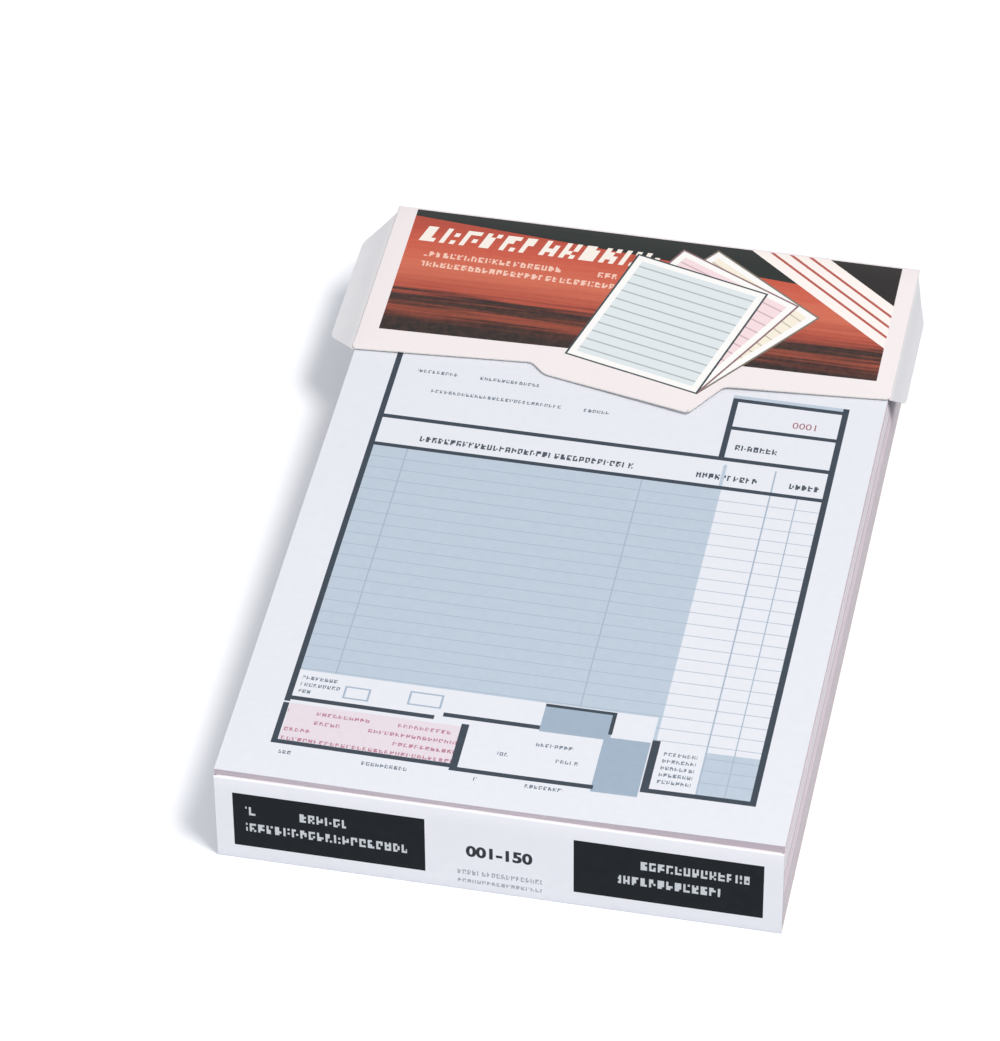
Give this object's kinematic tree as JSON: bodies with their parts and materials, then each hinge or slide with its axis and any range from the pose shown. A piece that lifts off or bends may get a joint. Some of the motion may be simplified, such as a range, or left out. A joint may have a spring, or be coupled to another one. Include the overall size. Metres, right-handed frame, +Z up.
{
  "type": "receipt book",
  "caption": "Thick duplicate receipt book with a wraparound card cover: die-cut header flap, side lips, tuck-in foot panel and leaves that turn at the perforation.",
  "frame": {"origin": "middle of the sheets' outline, on the surface that the book lies on", "axes": "+Y towards the head of the sheet, +X to its right, +Z up out of the top sheet"},
  "size_m": [0.1514, 0.2175, 0.0298],
  "materials": {
    "cover_card": "uncoated white card, satin",
    "printed_card": "glossy printed card, red to near black",
    "grey_board": "matte grey board",
    "padding_glue": "satin white padding glue",
    "stitch_wire": "tinned flat wire",
    "white_paper": "matte carbonless paper, printed form",
    "pink_paper": "matte carbonless paper, pink copy",
    "block_paper": "matte cut edges of white and pink sheets"
  },
  "bodies": {
    "binding": {"cover_back_panel": "cover_card", "cover_spine_panel": "cover_card", "back_board": "grey_board", "head_glue": "padding_glue", "top_stitch_left": "stitch_wire", "top_stitch_right": "stitch_wire", "bottom_stitch_left": "stitch_wire", "bottom_stitch_right": "stitch_wire", "set_1_white_stub": "white_paper", "set_1_pink_stub": "pink_paper", "set_2_white_stub": "white_paper", "set_2_pink_stub": "pink_paper", "set_3_white_stub": "white_paper", "set_3_pink_stub": "pink_paper", "set_4_white_stub": "white_paper", "set_4_pink_stub": "pink_paper", "set_5_white_stub": "white_paper", "set_5_pink_stub": "pink_paper", "set_6_white_stub": "white_paper", "set_6_pink_stub": "pink_paper", "sets_007_to_015": "block_paper", "sets_016_to_024": "block_paper", "sets_025_to_033": "block_paper", "sets_034_to_042": "block_paper", "sets_043_to_051": "block_paper", "sets_052_to_060": "block_paper", "sets_061_to_069": "block_paper", "sets_070_to_078": "block_paper", "sets_079_to_087": "block_paper", "sets_088_to_096": "block_paper", "sets_097_to_105": "block_paper", "sets_106_to_114": "block_paper", "sets_115_to_123": "block_paper", "sets_124_to_132": "block_paper", "sets_133_to_141": "block_paper", "sets_142_to_150": "block_paper"},
    "header": {"header_flap": "printed_card"},
    "left_lip": {"left_side_lip": "cover_card"},
    "right_lip": {"right_side_lip": "cover_card"},
    "foot": {"foot_panel": "cover_card"},
    "tuck": {"tuck_flap": "cover_card"},
    "set_1_white": {"set_1_white_leaf": "white_paper"},
    "set_1_pink": {"set_1_pink_leaf": "pink_paper"},
    "set_2_white": {"set_2_white_leaf": "white_paper"},
    "set_2_pink": {"set_2_pink_leaf": "pink_paper"},
    "set_3_white": {"set_3_white_leaf": "white_paper"},
    "set_3_pink": {"set_3_pink_leaf": "pink_paper"},
    "set_4_white": {"set_4_white_leaf": "white_paper"},
    "set_4_pink": {"set_4_pink_leaf": "pink_paper"},
    "set_5_white": {"set_5_white_leaf": "white_paper"},
    "set_5_pink": {"set_5_pink_leaf": "pink_paper"},
    "set_6_white": {"set_6_white_leaf": "white_paper"},
    "set_6_pink": {"set_6_pink_leaf": "pink_paper"}
  },
  "joints": [
    {"name": "header_fold", "type": "hinge", "parent": "binding", "child": "header", "pos_m": [0, 0.10885, 0.02936], "axis": [-1, 0, 0], "range_deg": [0, 175]},
    {"name": "left_lip_fold", "type": "hinge", "parent": "header", "child": "left_lip", "pos_m": [-0.07055, 0.0765, 0.02936], "axis": [0, 1, 0], "range_deg": [-57, 33]},
    {"name": "right_lip_fold", "type": "hinge", "parent": "header", "child": "right_lip", "pos_m": [0.07055, 0.0795, 0.02936], "axis": [0, -1, 0], "range_deg": [-18, 72]},
    {"name": "foot_fold", "type": "hinge", "parent": "binding", "child": "foot", "pos_m": [0, -0.10865, 0], "axis": [1, 0, 0], "range_deg": [0, 87.5]},
    {"name": "tuck_fold", "type": "hinge", "parent": "foot", "child": "tuck", "pos_m": [0, -0.10865, 0.02723], "axis": [1, 0, 0], "range_deg": [0, 87.5]},
    {"name": "set_1_white_turn", "type": "hinge", "parent": "binding", "child": "set_1_white", "pos_m": [0, 0.09195, 0.02874], "axis": [-1, 0, 0], "range_deg": [0, 164.5]},
    {"name": "set_1_pink_turn", "type": "hinge", "parent": "binding", "child": "set_1_pink", "pos_m": [0, 0.09195, 0.02874], "axis": [-1, 0, 0], "range_deg": [0, 161]},
    {"name": "set_2_white_turn", "type": "hinge", "parent": "binding", "child": "set_2_white", "pos_m": [0, 0.09195, 0.02874], "axis": [-1, 0, 0], "range_deg": [0, 157.5]},
    {"name": "set_2_pink_turn", "type": "hinge", "parent": "binding", "child": "set_2_pink", "pos_m": [0, 0.09195, 0.02874], "axis": [-1, 0, 0], "range_deg": [0, 154]},
    {"name": "set_3_white_turn", "type": "hinge", "parent": "binding", "child": "set_3_white", "pos_m": [0, 0.09195, 0.02874], "axis": [-1, 0, 0], "range_deg": [0, 150.5]},
    {"name": "set_3_pink_turn", "type": "hinge", "parent": "binding", "child": "set_3_pink", "pos_m": [0, 0.09195, 0.02874], "axis": [-1, 0, 0], "range_deg": [0, 147]},
    {"name": "set_4_white_turn", "type": "hinge", "parent": "binding", "child": "set_4_white", "pos_m": [0, 0.09195, 0.02874], "axis": [-1, 0, 0], "range_deg": [0, 143.5]},
    {"name": "set_4_pink_turn", "type": "hinge", "parent": "binding", "child": "set_4_pink", "pos_m": [0, 0.09195, 0.02874], "axis": [-1, 0, 0], "range_deg": [0, 140]},
    {"name": "set_5_white_turn", "type": "hinge", "parent": "binding", "child": "set_5_white", "pos_m": [0, 0.09195, 0.02874], "axis": [-1, 0, 0], "range_deg": [0, 136.5]},
    {"name": "set_5_pink_turn", "type": "hinge", "parent": "binding", "child": "set_5_pink", "pos_m": [0, 0.09195, 0.02874], "axis": [-1, 0, 0], "range_deg": [0, 133]},
    {"name": "set_6_white_turn", "type": "hinge", "parent": "binding", "child": "set_6_white", "pos_m": [0, 0.09195, 0.02874], "axis": [-1, 0, 0], "range_deg": [0, 129.5]},
    {"name": "set_6_pink_turn", "type": "hinge", "parent": "binding", "child": "set_6_pink", "pos_m": [0, 0.09195, 0.02874], "axis": [-1, 0, 0], "range_deg": [0, 126]}
  ],
  "couplings": [
    {"joint": "foot_fold", "follows": "header_fold", "ratio": 0.5},
    {"joint": "tuck_fold", "follows": "header_fold", "ratio": 0.5},
    {"joint": "set_1_white_turn", "follows": "header_fold", "ratio": 0.94},
    {"joint": "set_1_pink_turn", "follows": "header_fold", "ratio": 0.92},
    {"joint": "set_2_white_turn", "follows": "header_fold", "ratio": 0.9},
    {"joint": "set_2_pink_turn", "follows": "header_fold", "ratio": 0.88},
    {"joint": "set_3_white_turn", "follows": "header_fold", "ratio": 0.86},
    {"joint": "set_3_pink_turn", "follows": "header_fold", "ratio": 0.84},
    {"joint": "set_4_white_turn", "follows": "header_fold", "ratio": 0.82},
    {"joint": "set_4_pink_turn", "follows": "header_fold", "ratio": 0.8},
    {"joint": "set_5_white_turn", "follows": "header_fold", "ratio": 0.78},
    {"joint": "set_5_pink_turn", "follows": "header_fold", "ratio": 0.76},
    {"joint": "set_6_white_turn", "follows": "header_fold", "ratio": 0.74},
    {"joint": "set_6_pink_turn", "follows": "header_fold", "ratio": 0.72}
  ]
}
